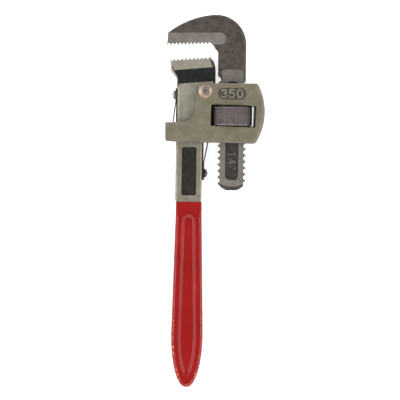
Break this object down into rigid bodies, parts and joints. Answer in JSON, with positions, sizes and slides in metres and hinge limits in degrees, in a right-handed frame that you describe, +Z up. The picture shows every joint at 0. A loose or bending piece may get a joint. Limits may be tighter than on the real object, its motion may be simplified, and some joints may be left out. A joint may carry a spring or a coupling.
{
  "type": "pipe wrench",
  "caption": "Adjustable pipe wrench with a sliding toothed hook jaw, knurled adjusting nut, rocking housing with leaf springs, and a plastic-dipped flat handle.",
  "frame": {"origin": "on the ground plane under the centre of the bounding box, the wrench lying flat on its back with the jaws at rest", "axes": "+Y runs along the handle towards the jaws, +X across the wrench from the bar towards the hook jaw's shank, +Z up out of the front face"},
  "size_m": [0.0833, 0.3146, 0.034],
  "materials": {
    "bar_steel": "ground steel, slightly tarnished, black paint on the jaw's shoulder and in the sunk panel",
    "grip": "red dipped coating, glossy",
    "housing_steel": "ground forged steel, slightly tarnished",
    "rivet": "domed and peened, warm silver",
    "jaw_steel": "dark forged steel with ground faces",
    "nut_steel": "dark, finely knurled",
    "spring_steel": "blackened spring steel",
    "small_rivet": "blackened steel"
  },
  "bodies": {
    "bar": {"bar": "bar_steel", "handle_grip": "grip", "upper_base_leaf": "spring_steel", "upper_spring_leaf": "spring_steel", "upper_spring_rivet": "small_rivet", "lower_base_leaf": "spring_steel", "lower_spring_leaf": "spring_steel", "lower_spring_rivet": "small_rivet"},
    "housing": {"housing": "housing_steel", "pivot_rivet": "rivet"},
    "hook_jaw": {"hook_jaw": "jaw_steel"},
    "adjusting_nut": {"adjusting_nut": "nut_steel"}
  },
  "joints": [
    {"name": "housing_rock", "type": "hinge", "parent": "bar", "child": "housing", "pos_m": [-0.00835, 0.09275, 0.017], "axis": [0, 0, 1], "range_deg": [-2, 1.5], "stiffness_Nm_per_rad": 40, "deforming": ["upper_spring_leaf", "lower_spring_leaf"]},
    {"name": "jaw_slide", "type": "slide", "parent": "housing", "child": "hook_jaw", "axis": [0, 1, 0], "range_m": [-0.0115, 0.0353]},
    {"name": "nut_spin", "type": "hinge", "parent": "housing", "child": "adjusting_nut", "pos_m": [0.01485, 0.07205, 0.017], "axis": [0, 1, 0], "range_deg": [-2400, 800]}
  ],
  "couplings": [
    {"joint": "nut_spin", "follows": "jaw_slide", "rad_per_m": -1174.4}
  ]
}
